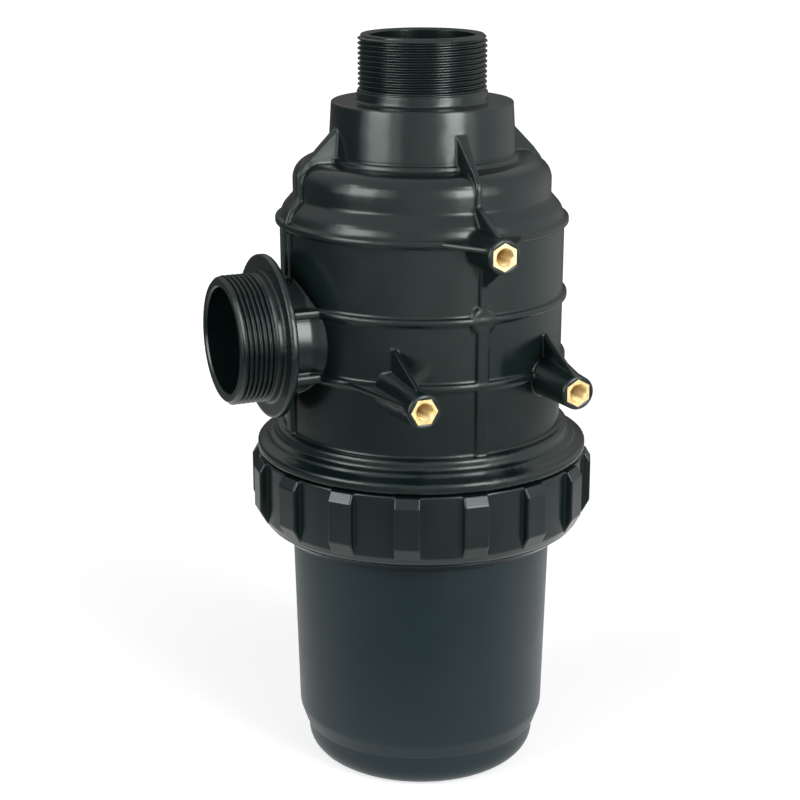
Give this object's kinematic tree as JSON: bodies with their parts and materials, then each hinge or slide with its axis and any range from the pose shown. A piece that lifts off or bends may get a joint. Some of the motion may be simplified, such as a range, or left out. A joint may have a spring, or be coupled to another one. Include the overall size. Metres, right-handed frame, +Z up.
{
  "type": "suction filter",
  "caption": "Upright in-line suction filter: black moulded head with threaded outlet on top and threaded inlet at the side, lugged ring nut, tapered bowl and brass mounting inserts.",
  "frame": {"origin": "middle of the flat foot of the bowl", "axes": "+Z up the axis of the bowl and out of the top port, -X out of the side inlet port, -Y out of the three mounting bosses"},
  "size_m": [0.1819, 0.1701, 0.354],
  "materials": {
    "head_plastic": "satin black moulded polypropylene",
    "nut_plastic": "satin black moulded polypropylene",
    "bowl_plastic": "matte black moulded polypropylene",
    "brass": "machined brass",
    "seal_rubber": "black rubber",
    "cage_plastic": "blue moulded plastic",
    "mesh_steel": "woven stainless mesh"
  },
  "bodies": {
    "head": {"filter_head": "head_plastic", "insert_upper": "brass", "insert_left": "brass", "insert_right": "brass"},
    "cartridge": {"cartridge_frame": "cage_plastic", "cartridge_mesh": "mesh_steel", "cartridge_top_gasket": "seal_rubber", "cartridge_bottom_gasket": "seal_rubber"},
    "bowl": {"bowl": "bowl_plastic", "bowl_o_ring": "seal_rubber"},
    "ring_nut": {"ring_nut": "nut_plastic"}
  },
  "joints": [
    {"name": "set_removal", "type": "slide", "parent": "head", "child": "cartridge", "axis": [0, 0, -1], "range_m": [0, 0.17]},
    {"name": "thread_travel", "type": "slide", "parent": "cartridge", "child": "bowl", "axis": [0, 0, -1], "range_m": [0, 0.0212]},
    {"name": "nut_turn", "type": "hinge", "parent": "bowl", "child": "ring_nut", "pos_m": [0, 0, 0.14], "axis": [0, 0, -1], "range_deg": [0, 1260]}
  ],
  "couplings": [
    {"joint": "thread_travel", "follows": "nut_turn", "m_per_rad": 0.00095493}
  ]
}
